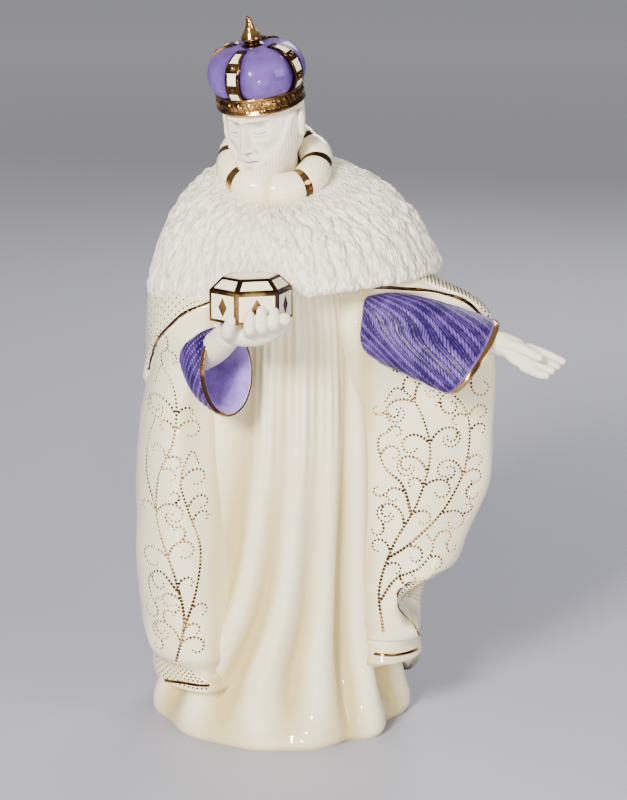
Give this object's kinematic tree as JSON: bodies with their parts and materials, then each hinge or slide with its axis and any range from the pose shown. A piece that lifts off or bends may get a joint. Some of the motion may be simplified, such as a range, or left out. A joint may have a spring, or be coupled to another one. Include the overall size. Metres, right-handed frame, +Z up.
{
  "type": "nativity wise man figurine",
  "caption": "Standing porcelain wise man in crown, fur cape and open cloak, holding out a small six-sided casket, for a nativity scene.",
  "frame": {"origin": "middle of the flat underside of the robe's foot", "axes": "+Z up along the figure, -Y the way the figure faces, +X to the side of its outstretched left hand"},
  "size_m": [0.1408, 0.1183, 0.24],
  "materials": {
    "ivory_porcelain": "clear gloss glaze over ivory porcelain, with purple glaze and burnished gold on the crown, sleeves and casket, and unglazed fur, face and hands"
  },
  "bodies": {
    "root": {"wise_man": "ivory_porcelain"}
  },
  "joints": []
}
